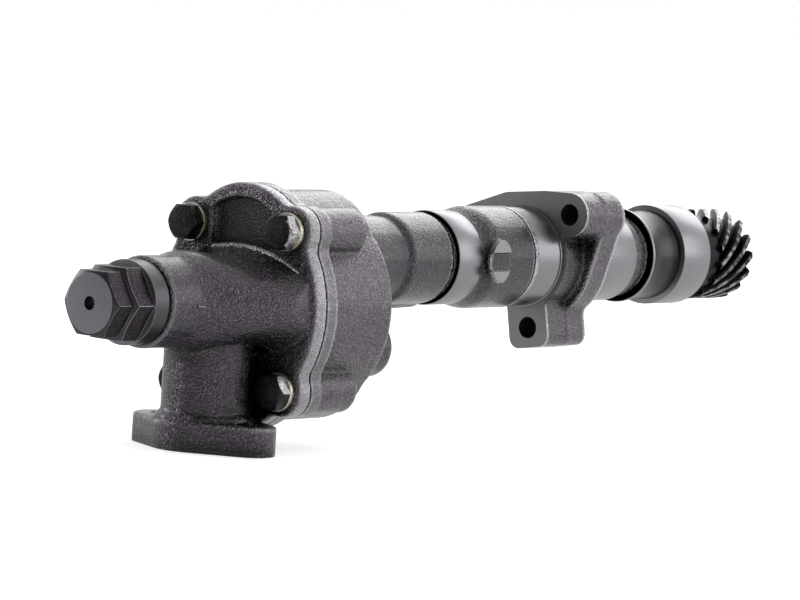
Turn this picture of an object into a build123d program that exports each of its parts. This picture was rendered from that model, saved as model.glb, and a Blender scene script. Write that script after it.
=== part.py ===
"""Long-neck gear oil pump for an engine block.

The cast housing carries two spur pump gears behind a cast cover, a long neck with turned location
bands, a three-bolt mounting flange and an end journal.  A shaft runs through the neck from the driving
pump gear to a helical gear outside the far end.  The cover carries the relief valve and the suction
elbow with its two-bolt flange.

Frame: X runs along the drive shaft, from the cover towards the helical gear.  X = 0 is the flange face
that seats on the block.  Z is up, away from the suction flange.  All sizes are millimetres.
"""
from build123d import *
from math import acos, cos, pi, radians, sin, tan
import os

os.makedirs("parts", exist_ok=True)

# ---- pump gears ---------------------------------------------------------------------------------
pump_module = 3.5
pump_teeth = 10
pump_pressure_angle = 28.0
pump_backlash = 0.10
gear_width = 34.0
gear_end_clearance = 0.04
gear_tip_clearance = 0.08
root_factor = 1.2

centre_distance = pump_module * pump_teeth
pump_pitch_r = centre_distance / 2
pump_tip_r = pump_pitch_r + pump_module
pump_root_r = pump_pitch_r - root_factor * pump_module
chamber_r = pump_tip_r + gear_tip_clearance
chamber_depth = gear_width + 2 * gear_end_clearance

# ---- drive shaft and its bushes ------------------------------------------------------------------
shaft_d = 16.0
shaft_r = shaft_d / 2
running_clearance = 0.03
locating_clearance = 0.02
bush_wall = 2.5
lower_bush_len = 30.0
upper_bush_len = 36.0
neck_bore_relief = 1.2
shaft_end_gap = 0.4
bush_bore_r = shaft_r + running_clearance
bush_r = bush_bore_r + bush_wall
neck_bore_r = shaft_r + neck_bore_relief

# ---- stations along the shaft ---------------------------------------------------------------------
flange_t = 25.0
pilot_len = 16.3
flare_len = 35.7
ring_len = 15.0
neck_len = 63.0
case_depth = 44.0
cover_flange_t = 7.0
block_band_len = 30.0
rough_band_len = 9.0
lip_gap = 2.0
lip_len = 1.6
groove_len = 19.8
journal_len = 20.7

x_seat = 0.0
x_flange_front = x_seat - flange_t
x_pilot_front = x_flange_front - pilot_len
x_ring_back = x_pilot_front - flare_len
x_ring_front = x_ring_back - ring_len
x_case_back = x_ring_front - neck_len
x_joint = x_case_back - case_depth
x_cover_front = x_joint - cover_flange_t
x_chamber_floor = x_joint + chamber_depth
x_band_end = x_seat + block_band_len
x_rough_end = x_band_end + rough_band_len
x_lip_front = x_rough_end + lip_gap
x_lip_back = x_lip_front + lip_len
x_journal_front = x_lip_back + groove_len
x_housing_end = x_journal_front + journal_len

# ---- radii along the neck --------------------------------------------------------------------------
neck_r = 18.4
neck_root_r = 17.8
neck_root_len = 8.0
neck_root_blend = 3.0
neck_valley_r = 16.6
neck_valley_from_case = 33.0
valley_ramp_len = 3.0
valley_ramp_rise = 0.3
valley_wall_len = 4.0
valley_wall_knee = (1.5, 0.5)
ring_undercut_r = 17.0
ring_undercut_len = 3.0
ring_r = 19.0
flare_small_r = 17.9
flare_r = 20.8
flare_rise_len = 11.9
flare_start_slope = 0.1
pilot_r = 20.3
pilot_edge_r = 20.9
pilot_edge_len = 1.4
block_band_r = 19.0
rough_band_r = 17.4
rough_band_swell = 0.6
lip_undercut_r = 16.3
lip_r = 19.9
groove_r = 17.6
groove_low_from_lip = 6.6
groove_end_len = 2.0
groove_end_rise = 1.4
journal_r = 21.1
end_chamfer = 1.4

# ---- gear case -------------------------------------------------------------------------------------
case_wall = 6.0
case_half_width = 36.4
case_side_r = 41.6
rim_band = 6.8
rim_overhang = 2.8
ear_r = 10.0
outline_blend_r = 7.0
case_boss_r = 9.2
case_boss_len = 24.0
case_boss_round = 3.5
case_back_round = 1.6
idler_boss_r = 12.0
idler_boss_len = 34.0
idler_boss_round = 3.5
pocket_half_width = 27.5
pocket_height = 17.0
pocket_corner_r = 4.0

case_lobe_r = chamber_r + case_wall
side_bulge_centre = case_side_r - case_half_width
z_idler = -centre_distance
z_mid = z_idler / 2

# ---- cover bolts -----------------------------------------------------------------------------------
bolt_span_y = 48.0
bolt_span_z = 60.5
bolt_d = 8.0
bolt_head_af = 13.0
bolt_head_h = 5.3
bolt_thread_depth = 20.0
bolt_tap_runout = 3.0
bolt_hole_clearance = 0.5
thread_clearance = 0.05
washer_t = 2.1
washer_r = 7.4
washer_gap = 1.0
washer_gap_slant = 12.0
washer_bore_clearance = 0.2
washer_gap_at = 0.8
bolt_head_chamfer = 1.3
hex_face_share = 0.93
hex_cutter_margin = 1.0
spot_face_r = 8.6

# ---- mounting flange -------------------------------------------------------------------------------
flange_pcd = 59.0
flange_hole_d = 9.0
flange_lobe_r = 8.9
flange_draft = 1.3
flange_hole_angles = (40.0, 160.0, -80.0)
flange_plate_t = 12.0
flange_plate_r = 25.8
flange_hub_r = 21.8
flange_blend_r = 4.0
flange_crowns = ((-10.0, 18.9), (8.5, 17.0))
foot_w = 19.2
foot_reach = 37.8
foot_root = 12.0
foot_corner_r = 4.6

lobe_centres = [
    (-flange_pcd / 2 * cos(radians(angle)), flange_pcd / 2 * sin(radians(angle)))
    for angle in flange_hole_angles
]
top_lobes = lobe_centres[:2]
foot_angle = flange_hole_angles[2]
foot_mid = (foot_root + foot_reach) / 2
foot_centre = (-foot_mid * cos(radians(foot_angle)), foot_mid * sin(radians(foot_angle)))

# ---- cast pad on the neck ----------------------------------------------------------------------------
pad_from_ring = 8.8
pad_half_len = 6.8
pad_half_height = 8.8
pad_height = 1.6
pad_slot_w = 6.6
pad_slot_depth = 1.3
pad_root_depth = 4.0

x_pad = x_ring_back + pad_from_ring

# ---- discharge gallery -------------------------------------------------------------------------------
gallery_r = 3.0
gallery_wall = 3.5
gallery_start_y = 12.0
gallery_start_z = -17.0
gallery_end_z = -12.9
gallery_rib_share = 0.86
outlet_r = 4.0

x_outlet = (x_ring_front + x_ring_back) / 2
gallery_run = Vector(x_outlet - x_chamber_floor, -gallery_start_y, gallery_end_z - gallery_start_z)
gallery_len = gallery_run.length
gallery_plane = Plane(origin=(x_chamber_floor, gallery_start_y, gallery_start_z), z_dir=gallery_run)

# ---- cover -------------------------------------------------------------------------------------------
cover_edge_round = 2.4
arch_band = 5.6
arch_half_width = 14.5
arch_depth = 3.0
barrel_r = 17.4
barrel_z = -15.0
barrel_len = 56.0
barrel_mouth_round = 1.0
shoulder_reach = 40.0
shoulder_half_width = 39.5
shoulder_half_height = 20.9
shoulder_root_inset = 0.5
shoulder_gutter_from_cover = 6.0
shoulder_gutter_half_width = 37.4
shoulder_gutter_half_height = 17.7
shoulder_waist_swell = 1.0
shoulder_waist_height = 17.8
shoulder_end_inset = 0.1
column_x_from_joint = 21.2
column_r = 17.0
column_foot_round = 2.4
suction_bore_r = 11.5
suction_flange_t = 11.5
suction_flange_r = 20.8
suction_flange_round = 1.2
suction_ear_r = 11.0
suction_hole_span = 43.0
suction_hole_d = 9.0
z_suction_face = -71.5
suction_port_w = 14.0
suction_port_h = 20.0
suction_port_corner_r = 5.0
suction_throat_r = 8.0
suction_throat_y = 3.0
suction_bore_top = -27.0
suction_port_y = 20.0
pressure_port_r = 5.0
pressure_port_y = 18.0

x_barrel_end = x_cover_front - barrel_len
x_column = x_joint - column_x_from_joint
z_suction_top = z_suction_face + suction_flange_t

# ---- relief valve --------------------------------------------------------------------------------------
body_seal_t = 1.0
body_collar_r = 16.0
body_collar_t = 7.4
body_hex_af = 27.0
body_hex_len = 10.0
body_thread_r = 12.0
body_thread_len = 15.0
body_bore_r = 7.5
cap_seal_t = 0.8
cap_hex_af = 24.0
cap_hex_len = 8.0
cap_thread_len = 9.0
cap_hole_r = 1.9
cap_hole_depth = 4.0
piston_r = 9.0
piston_len = 14.0
piston_wall = 3.0
piston_clearance = 0.03
relief_seat_r = 6.0
relief_seat_len = 10.0
relief_seat_back = 8.0
spring_r = 5.0
spring_wire = 1.4
spring_turns = 7
shim_t = 1.0
shim_r = 6.4
shim_hole_r = 2.0
piston_crown_t = 3.0
seal_inset = 0.6
thread_runout = 1.5
body_hex_chamfer = 1.6
cap_hex_chamfer = 1.6
relief_drain_r = 4.0

x_body_collar = x_barrel_end - body_seal_t
x_body_hex = x_body_collar - body_collar_t
x_body_front = x_body_hex - body_hex_len
x_cap_back = x_body_front - cap_seal_t
x_cap_front = x_cap_back - cap_hex_len
x_relief_seat = x_cover_front - relief_seat_len - relief_seat_back
x_relief_drain = x_relief_seat - relief_drain_r
pressure_run = Vector(x_cover_front - relief_seat_back - x_joint, -pressure_port_y, barrel_z - z_mid)
pressure_plane = Plane(origin=(x_joint, pressure_port_y, z_mid), z_dir=pressure_run)

# ---- helical drive gear ----------------------------------------------------------------------------------
helical_module = 1.8
helical_teeth = 15
helix_angle = 40.0
helical_width = 23.0
helical_hub_r = 17.4
helical_hub_len = 8.6
helical_root_factor = 1.25
helical_pressure_angle = 20.0
thrust_washer_t = 2.0
thrust_washer_r = 15.5
helical_pin_r = 2.5
helical_pin_recess = 0.4
shaft_stub = 1.2
shaft_chamfer = 0.8

helical_pitch_r = helical_module * helical_teeth / cos(radians(helix_angle)) / 2
helical_tip_r = helical_pitch_r + helical_module
helical_root_r = helical_pitch_r - helical_root_factor * helical_module
x_hub_front = x_housing_end + thrust_washer_t
x_teeth_front = x_hub_front + helical_hub_len
x_teeth_back = x_teeth_front + helical_width

# ---- keys, pins and dowels --------------------------------------------------------------------------------
key_w = 5.0
key_h = 5.0
key_len = 26.0
key_depth_in_shaft = 2.6
key_top_gap = 0.1
idler_pin_d = 14.0
idler_bush_wall = 2.5
idler_pin_grip = 32.0
idler_pin_end_gap = 0.3
idler_pin_r = idler_pin_d / 2
dowel_r = 2.5
dowel_len = 11.0
dowel_y = 33.0
dowel_in_cover = 5.0


def at_x(x):
    """Sketch plane square to the shaft at station x; its axes are Y and Z."""
    return Plane.YZ.offset(x)


def keep(part, label):
    """Label a finished piece and write its STEP file."""
    part.label = label
    export_step(part, f"parts/{label}.step")


def hull_of(*circles):
    """Convex outline wrapped round circles given as (centre, radius)."""
    with BuildSketch() as rims:
        for centre, radius in circles:
            with Locations(centre):
                Circle(radius)
    with BuildSketch() as wrapped:
        make_hull(rims.sketch.edges())
    return wrapped.sketch


def web_outline(draft):
    """Flange web over the two top lobes; draft widens it on the sides and below, its crest stays level."""
    return hull_of(*[((y, z - draft), flange_lobe_r + draft) for y, z in (*top_lobes, *flange_crowns)])


def foot_outline(draft):
    """Square-cornered flange foot that points straight away from the shaft axis."""
    with BuildSketch() as outline:
        with Locations(foot_centre):
            RectangleRounded(
                foot_w + 2 * draft,
                foot_reach - foot_root,
                foot_corner_r,
                rotation=-90 - foot_angle,
            )
    return outline.sketch


def case_outline(grow, with_ears):
    """Double-lobed gear case outline, centred on the two pump gears, grown outwards by a band."""
    with BuildSketch() as side_bulge:
        with Locations((-side_bulge_centre, z_mid)):
            Circle(case_side_r + grow)
        with Locations((side_bulge_centre, z_mid)):
            Circle(case_side_r + grow, mode=Mode.INTERSECT)
    with BuildSketch() as outline:
        with Locations((0, 0), (0, z_idler)):
            Circle(case_lobe_r + grow)
        add(side_bulge.sketch)
        if with_ears:
            with Locations(*bolt_centres):
                Circle(ear_r)
        offset(amount=outline_blend_r, kind=Kind.ARC)
        offset(amount=-outline_blend_r, kind=Kind.ARC)
    return outline.sketch


def involute_outline(module, teeth, pressure_angle, thinning, root_r, tip_r, pitch_r):
    """Spur gear outline with involute flanks, each tooth thinned by the backlash."""
    base_r = pitch_r * cos(radians(pressure_angle))
    involute_at_pitch = tan(radians(pressure_angle)) - radians(pressure_angle)
    half_angle = pi / (2 * teeth) + involute_at_pitch - thinning / (2 * pitch_r)
    start_r = max(base_r, root_r)

    def flank(radius):
        pressure = acos(base_r / radius)
        turn = half_angle - (tan(pressure) - pressure)
        return (radius * cos(turn), radius * sin(turn))

    flank_points = [flank(start_r + (tip_r - start_r) * share) for share in (0, 0.15, 0.5, 1)]
    below = [(x, -y) for x, y in flank_points]
    buried_r = root_r - module / 4
    foot = (buried_r * cos(half_angle), buried_r * sin(half_angle))
    with BuildSketch() as tooth:
        with BuildLine():
            Spline(*flank_points)
            ThreePointArc(flank_points[-1], (tip_r, 0), below[-1])
            Spline(*below)
            Polyline(flank_points[0], foot, (foot[0], -foot[1]), below[0])
        make_face()
    with BuildSketch() as outline:
        Circle(root_r)
        with PolarLocations(0, teeth):
            add(tooth.sketch)
    return outline.sketch


def hexagon_bar(x_back, length, across_flats, centre, chamfer_depth):
    """Hexagon standing from x_back towards -X, its outer corners turned off on the free face."""
    corner_r = across_flats / 3 ** 0.5
    flat_r = across_flats / 2
    with BuildPart() as bar:
        with BuildSketch(at_x(x_back)):
            with Locations(centre):
                RegularPolygon(flat_r, 6, major_radius=False, rotation=0)
        extrude(amount=-length)
        with BuildSketch(Plane.XZ.offset(-centre[0])):
            with BuildLine():
                Polyline(
                    (x_back, centre[1]),
                    (x_back, centre[1] + corner_r + hex_cutter_margin),
                    (x_back - length + chamfer_depth, centre[1] + corner_r + hex_cutter_margin),
                    (x_back - length + chamfer_depth, centre[1] + corner_r),
                    (x_back - length, centre[1] + flat_r * hex_face_share),
                    (x_back - length, centre[1]),
                    close=True,
                )
            make_face()
        revolve(axis=Axis((0, centre[0], centre[1]), (1, 0, 0)), mode=Mode.INTERSECT)
    return bar.part


def round_boss(x_start, length, radius, end_round, centres):
    """Round cast bosses standing from x_start towards +X, their free ends rounded."""
    with BuildPart() as bosses:
        with BuildSketch(at_x(x_start)):
            with Locations(*centres):
                Circle(radius)
        extrude(amount=length)
        fillet(bosses.faces().filter_by(Axis.X).group_by(Axis.X)[-1].edges(), end_round)
    return bosses.part


# ---- pump housing: gear case, neck, mounting flange and journal in one casting ----
bolt_centres = [(y, z_mid + z) for y in (-bolt_span_y / 2, bolt_span_y / 2)
                for z in (-bolt_span_z / 2, bolt_span_z / 2)]
x_valley = x_case_back + neck_valley_from_case
x_flare_top = x_ring_back + flare_rise_len
x_groove_low = x_lip_back + groove_low_from_lip
x_groove_end = x_journal_front - groove_end_len
with BuildPart() as pump_housing:
    with BuildSketch(at_x(x_joint)):
        add(case_outline(0, False))
    extrude(amount=case_depth)
    fillet(pump_housing.faces().sort_by(Axis.X)[-1].edges(), case_back_round)
    with BuildSketch(at_x(x_joint)):
        add(case_outline(rim_overhang, True))
    extrude(amount=rim_band)
    add(round_boss(x_joint, rim_band + case_boss_len, case_boss_r, case_boss_round, bolt_centres))
    add(round_boss(x_chamber_floor, x_case_back + idler_boss_len - x_chamber_floor, idler_boss_r,
                   idler_boss_round, [(0, z_idler)]))

    # neck, turned bands, groove and journal as one turned profile
    with BuildSketch(Plane.XZ):
        with BuildLine():
            Polyline(
                (x_chamber_floor, 0),
                (x_chamber_floor, neck_root_r + neck_root_blend),
                (x_case_back, neck_root_r + neck_root_blend),
            )
            RadiusArc(
                (x_case_back, neck_root_r + neck_root_blend),
                (x_case_back + neck_root_blend, neck_root_r),
                -neck_root_blend,
            )
            Polyline(
                (x_case_back + neck_root_blend, neck_root_r),
                (x_case_back + neck_root_len, neck_root_r),
                (x_valley - valley_ramp_len, neck_valley_r + valley_ramp_rise),
                (x_valley, neck_valley_r),
            )
            ThreePointArc(
                (x_valley, neck_valley_r),
                (x_valley + valley_wall_knee[0], neck_r - valley_wall_knee[1]),
                (x_valley + valley_wall_len, neck_r),
            )
            Polyline(
                (x_valley + valley_wall_len, neck_r),
                (x_ring_front - ring_undercut_len, neck_r),
                (x_ring_front - ring_undercut_len / 2, ring_undercut_r),
                (x_ring_front, ring_undercut_r),
                (x_ring_front, ring_r),
                (x_ring_back, ring_r),
                (x_ring_back, flare_small_r),
            )
            Spline(
                (x_ring_back, flare_small_r),
                (x_flare_top, flare_r),
                tangents=((1, flare_start_slope), (1, 0)),
            )
            Polyline(
                (x_flare_top, flare_r),
                (x_pilot_front, flare_r),
                (x_pilot_front, pilot_r),
                (x_flange_front - pilot_edge_len, pilot_r),
                (x_flange_front - pilot_edge_len, pilot_edge_r),
                (x_flange_front, pilot_edge_r),
                (x_flange_front, block_band_r),
                (x_band_end, block_band_r),
                (x_band_end, rough_band_r + rough_band_swell),
                (x_rough_end, rough_band_r),
                (x_rough_end + lip_gap / 2, lip_undercut_r),
                (x_lip_front, lip_undercut_r),
                (x_lip_front, lip_r),
                (x_lip_back, lip_r),
            )
            ThreePointArc(
                (x_lip_back, lip_r),
                (x_groove_low, groove_r),
                (x_groove_end, groove_r + groove_end_rise),
            )
            Polyline(
                (x_groove_end, groove_r + groove_end_rise),
                (x_journal_front, groove_r + groove_end_rise),
                (x_journal_front, journal_r),
                (x_housing_end - end_chamfer, journal_r),
                (x_housing_end, journal_r - end_chamfer),
                (x_housing_end, 0),
                (x_chamber_floor, 0),
            )
        make_face()
    revolve(axis=Axis.X)

    # mounting flange: plate blended into its lobes, drafted full-depth web and foot, round hub
    with BuildSketch(at_x(x_seat)):
        for centre in top_lobes:
            add(hull_of((centre, flange_lobe_r + flange_draft / 2), ((0, 0), flange_plate_r)))
        add(foot_outline(flange_draft))
        offset(amount=flange_blend_r, kind=Kind.ARC)
        offset(amount=-flange_blend_r, kind=Kind.ARC)
    extrude(amount=-flange_plate_t)
    with BuildSketch(at_x(x_seat)):
        add(web_outline(flange_draft))
    with BuildSketch(at_x(x_flange_front)):
        add(web_outline(0))
    loft()
    with BuildSketch(at_x(x_seat)):
        add(foot_outline(flange_draft))
    with BuildSketch(at_x(x_flange_front)):
        add(foot_outline(0))
    loft()
    with BuildSketch(at_x(x_seat)):
        Circle(flange_hub_r)
    extrude(amount=-flange_t)

    # cast pad on the neck, its crest machined flat and slotted
    with BuildSketch(Plane.XZ.offset(flare_r - pad_root_depth)):
        with Locations((x_pad, 0)):
            Ellipse(pad_half_len, pad_half_height)
    extrude(amount=pad_root_depth + pad_height)
    with BuildSketch(Plane.XZ.offset(flare_r + pad_height)):
        with Locations((x_pad, 0)):
            Rectangle(3 * pad_half_len, pad_slot_w)
    extrude(amount=-pad_slot_depth, mode=Mode.SUBTRACT)

    # tapering rib under the neck that carries the discharge gallery
    with BuildSketch(gallery_plane):
        Circle(gallery_r + gallery_wall)
    extrude(amount=gallery_len * gallery_rib_share)

    # pump chamber, inlet and discharge pockets
    with BuildSketch(at_x(x_joint)):
        with Locations((0, 0), (0, z_idler)):
            Circle(chamber_r)
        with Locations((0, z_mid)):
            RectangleRounded(2 * pocket_half_width, pocket_height, pocket_corner_r)
    extrude(amount=chamber_depth, mode=Mode.SUBTRACT)

    # shaft bore with a press seat for a bush at each end
    with BuildSketch(at_x(x_chamber_floor)):
        Circle(neck_bore_r)
    extrude(amount=x_housing_end - x_chamber_floor, mode=Mode.SUBTRACT)
    with BuildSketch(at_x(x_chamber_floor)):
        Circle(bush_r)
    extrude(amount=lower_bush_len, mode=Mode.SUBTRACT)
    with BuildSketch(at_x(x_housing_end)):
        Circle(bush_r)
    extrude(amount=-upper_bush_len, mode=Mode.SUBTRACT)

    # idler pin hole, discharge gallery and its outlet in the turned ring
    with BuildSketch(at_x(x_chamber_floor)):
        with Locations((0, z_idler)):
            Circle(idler_pin_r)
    extrude(amount=idler_pin_grip, mode=Mode.SUBTRACT)
    with BuildSketch(gallery_plane):
        Circle(gallery_r)
    extrude(amount=gallery_len, mode=Mode.SUBTRACT)
    with BuildSketch(Plane.XY.offset(gallery_end_z)):
        with Locations((x_outlet, 0)):
            Circle(outlet_r)
    extrude(amount=-(ring_r + 1 + gallery_end_z), mode=Mode.SUBTRACT)

    # tapped holes for the cover bolts, dowel holes, flange bolt holes
    with BuildSketch(at_x(x_joint)):
        with Locations(*bolt_centres):
            Circle(bolt_d / 2)
    extrude(amount=bolt_thread_depth + bolt_tap_runout, mode=Mode.SUBTRACT)
    with BuildSketch(at_x(x_joint)):
        with Locations((-dowel_y, z_mid), (dowel_y, z_mid)):
            Circle(dowel_r)
    extrude(amount=dowel_len - dowel_in_cover, mode=Mode.SUBTRACT)
    with BuildSketch(at_x(x_seat)):
        with Locations(*lobe_centres):
            Circle(flange_hole_d / 2)
    extrude(amount=-flange_t, mode=Mode.SUBTRACT)
keep(pump_housing.part, "pump_housing")


# ---- shoulders that spread the barrel out to both sides of the cover ----
with BuildPart() as cover_shoulders:
    with BuildSketch(at_x(x_cover_front + shoulder_root_inset)):
        with Locations((0, barrel_z)):
            Ellipse(shoulder_half_width, shoulder_half_height)
    with BuildSketch(at_x(x_cover_front - shoulder_gutter_from_cover)):
        with Locations((0, barrel_z)):
            Ellipse(shoulder_gutter_half_width, shoulder_gutter_half_height)
    with BuildSketch(at_x(x_cover_front - shoulder_reach / 2)):
        with Locations((0, barrel_z)):
            Ellipse((shoulder_half_width + barrel_r) / 2 + shoulder_waist_swell, shoulder_waist_height)
    with BuildSketch(at_x(x_cover_front - shoulder_reach)):
        with Locations((0, barrel_z)):
            Circle(barrel_r - shoulder_end_inset)
    loft()
    with BuildSketch(at_x(x_joint)):
        add(case_outline(rim_overhang - cover_edge_round, True))
    extrude(amount=x_cover_front - shoulder_reach - x_joint, mode=Mode.INTERSECT)


# ---- suction flange: round disc drawn out to an ear at each bolt ----
with BuildPart() as suction_flange:
    with BuildSketch(Plane.XY.offset(z_suction_face)):
        ears = [((x_column, y), suction_ear_r) for y in (-suction_hole_span / 2, suction_hole_span / 2)]
        add(hull_of(((x_column, 0), suction_flange_r), *ears))
    extrude(amount=suction_flange_t)
    fillet(suction_flange.faces().sort_by(Axis.Z)[-1].edges(), suction_flange_round)


# ---- cover: flange, relief-valve barrel, shoulders, suction elbow and suction flange in one casting ----
with BuildPart() as suction_cover:
    with BuildSketch(at_x(x_joint)):
        add(case_outline(rim_overhang, True))
    extrude(amount=-cover_flange_t)
    fillet(suction_cover.faces().sort_by(Axis.X)[0].edges(), cover_edge_round)
    with BuildSketch(at_x(x_cover_front)):
        Circle(case_lobe_r + rim_overhang - arch_band)
        with Locations((0, (case_lobe_r + barrel_z) / 2)):
            Rectangle(2 * arch_half_width, case_lobe_r - barrel_z, mode=Mode.INTERSECT)
        with Locations((0, barrel_z)):
            Ellipse(shoulder_half_width, shoulder_half_height, mode=Mode.SUBTRACT)
    extrude(amount=arch_depth, mode=Mode.SUBTRACT)
    add(cover_shoulders.part)
    with BuildSketch(at_x(x_joint)):
        with Locations((0, barrel_z)):
            Circle(barrel_r)
    extrude(amount=x_barrel_end - x_joint)
    chamfer(suction_cover.faces().sort_by(Axis.X)[0].edges(), barrel_mouth_round)
    with BuildSketch(Plane.XZ):
        with BuildLine():
            Polyline(
                (x_column, barrel_z),
                (x_column + column_r, barrel_z),
                (x_column + column_r, z_suction_top + column_foot_round),
            )
            RadiusArc(
                (x_column + column_r, z_suction_top + column_foot_round),
                (x_column + column_r + column_foot_round, z_suction_top),
                column_foot_round,
            )
            Polyline(
                (x_column + column_r + column_foot_round, z_suction_top),
                (x_column, z_suction_top),
                (x_column, barrel_z),
            )
        make_face()
    revolve(axis=Axis((x_column, 0, 0), (0, 0, 1)))
    add(suction_flange.part)

    # suction bore up the column, rising to the inlet pocket on the -Y side
    with BuildSketch(Plane.XY.offset(z_suction_face)):
        with Locations((x_column, 0)):
            Circle(suction_bore_r)
    extrude(amount=suction_bore_top - z_suction_face, mode=Mode.SUBTRACT)
    with BuildSketch(at_x(x_joint)):
        with Locations((-suction_port_y, z_mid)):
            RectangleRounded(suction_port_w, suction_port_h, suction_port_corner_r)
    with BuildSketch(at_x(x_column + suction_throat_r / 2)):
        with Locations((-suction_throat_y, suction_bore_top - suction_throat_r)):
            Circle(suction_throat_r)
    loft(mode=Mode.SUBTRACT)

    # relief bore: seat, piston bore and tapped mouth on one axis, drain down to the suction bore
    with BuildSketch(at_x(x_barrel_end)):
        with Locations((0, barrel_z)):
            Circle(body_thread_r)
    extrude(amount=body_thread_len + thread_runout, mode=Mode.SUBTRACT)
    with BuildSketch(at_x(x_barrel_end)):
        with Locations((0, barrel_z)):
            Circle(piston_r + piston_clearance)
    extrude(amount=x_relief_seat - x_barrel_end, mode=Mode.SUBTRACT)
    with BuildSketch(at_x(x_relief_seat)):
        with Locations((0, barrel_z)):
            Circle(relief_seat_r)
    extrude(amount=relief_seat_len, mode=Mode.SUBTRACT)
    with BuildSketch(pressure_plane):
        Circle(pressure_port_r)
    extrude(amount=pressure_run.length, mode=Mode.SUBTRACT)
    with BuildSketch(Plane.XY.offset(barrel_z)):
        with Locations((x_relief_drain, 0)):
            Circle(relief_drain_r)
    extrude(amount=suction_bore_top - barrel_z - 1, mode=Mode.SUBTRACT)

    # bolt, dowel and suction flange holes, spot faces under the washers
    with BuildSketch(at_x(x_joint)):
        with Locations(*bolt_centres):
            Circle(bolt_d / 2 + bolt_hole_clearance)
    extrude(amount=-cover_flange_t, mode=Mode.SUBTRACT)
    with BuildSketch(at_x(x_cover_front)):
        with Locations(*bolt_centres):
            Circle(spot_face_r)
    extrude(amount=-bolt_head_h - washer_t, mode=Mode.SUBTRACT)
    with BuildSketch(at_x(x_joint)):
        with Locations((-dowel_y, z_mid), (dowel_y, z_mid)):
            Circle(dowel_r)
    extrude(amount=-dowel_in_cover, mode=Mode.SUBTRACT)
    with BuildSketch(Plane.XY.offset(z_suction_face)):
        with Locations((x_column, 0)):
            with GridLocations(1, suction_hole_span, 1, 2):
                Circle(suction_hole_d / 2)
    extrude(amount=suction_flange_t, mode=Mode.SUBTRACT)
keep(suction_cover.part, "suction_cover")


# ---- drive shaft with a seat for the driving gear's key ----
x_shaft_front = x_joint + shaft_end_gap
x_shaft_back = x_teeth_back + shaft_stub
x_gear_front = x_joint + gear_end_clearance
x_key_front = x_gear_front + (gear_width - key_len) / 2
x_pin = x_hub_front + helical_hub_len / 2
with BuildPart() as drive_shaft:
    with BuildSketch(at_x(x_shaft_front)):
        Circle(shaft_r)
    extrude(amount=x_shaft_back - x_shaft_front)
    chamfer(drive_shaft.edges().filter_by(GeomType.CIRCLE), shaft_chamfer)
    with BuildSketch(Plane.XY.offset(shaft_r - key_depth_in_shaft)):
        with Locations((x_key_front + key_len / 2, 0)):
            Rectangle(key_len, key_w)
    extrude(amount=key_h, mode=Mode.SUBTRACT)
    with BuildSketch(Plane.XY):
        with Locations((x_pin, 0)):
            Circle(helical_pin_r)
    extrude(amount=shaft_r + 1, both=True, mode=Mode.SUBTRACT)
keep(drive_shaft.part, "drive_shaft")


# ---- driving gear key ----
with BuildPart() as driving_gear_key:
    with BuildSketch(Plane.XY.offset(shaft_r - key_depth_in_shaft)):
        with Locations((x_key_front + key_len / 2, 0)):
            Rectangle(key_len, key_w)
    extrude(amount=key_h)
keep(driving_gear_key.part, "driving_gear_key")


# ---- pump gears: a tooth of the driving gear points down into a gap of the driven gear ----
pump_gear_face = involute_outline(
    pump_module, pump_teeth, pump_pressure_angle, pump_backlash, pump_root_r, pump_tip_r, pump_pitch_r
)
half_pitch_angle = 180 / pump_teeth
with BuildPart() as driving_gear:
    with BuildSketch(at_x(x_gear_front)):
        add(pump_gear_face, rotation=-90)
        Circle(shaft_r + locating_clearance, mode=Mode.SUBTRACT)
        with Locations((0, shaft_r - key_depth_in_shaft + (key_h + key_top_gap) / 2)):
            Rectangle(key_w, key_h + key_top_gap, mode=Mode.SUBTRACT)
    extrude(amount=gear_width)
keep(driving_gear.part, "driving_gear")

with BuildPart() as driven_gear:
    with BuildSketch(at_x(x_gear_front)):
        with Locations((0, z_idler)):
            add(pump_gear_face, rotation=90 + half_pitch_angle)
            Circle(idler_pin_r + running_clearance + idler_bush_wall, mode=Mode.SUBTRACT)
    extrude(amount=gear_width)
keep(driven_gear.part, "driven_gear")

with BuildPart() as driven_gear_bush:
    with BuildSketch(at_x(x_gear_front)):
        with Locations((0, z_idler)):
            Circle(idler_pin_r + running_clearance + idler_bush_wall)
            Circle(idler_pin_r + running_clearance, mode=Mode.SUBTRACT)
    extrude(amount=gear_width)
keep(driven_gear_bush.part, "driven_gear_bush")

with BuildPart() as idler_pin:
    with BuildSketch(at_x(x_joint + idler_pin_end_gap)):
        with Locations((0, z_idler)):
            Circle(idler_pin_r)
    extrude(amount=chamber_depth - idler_pin_end_gap + idler_pin_grip)
    chamfer(idler_pin.edges().filter_by(GeomType.CIRCLE), shaft_chamfer)
keep(idler_pin.part, "idler_pin")


# ---- shaft bushes pressed into both ends of the neck ----
def shaft_bush(x_start, length, label):
    with BuildPart() as bush:
        with BuildSketch(at_x(x_start)):
            Circle(bush_r)
            Circle(bush_bore_r, mode=Mode.SUBTRACT)
        extrude(amount=length)
    keep(bush.part, label)


shaft_bush(x_chamber_floor, lower_bush_len, "lower_shaft_bush")
shaft_bush(x_housing_end - upper_bush_len, upper_bush_len, "upper_shaft_bush")


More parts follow.
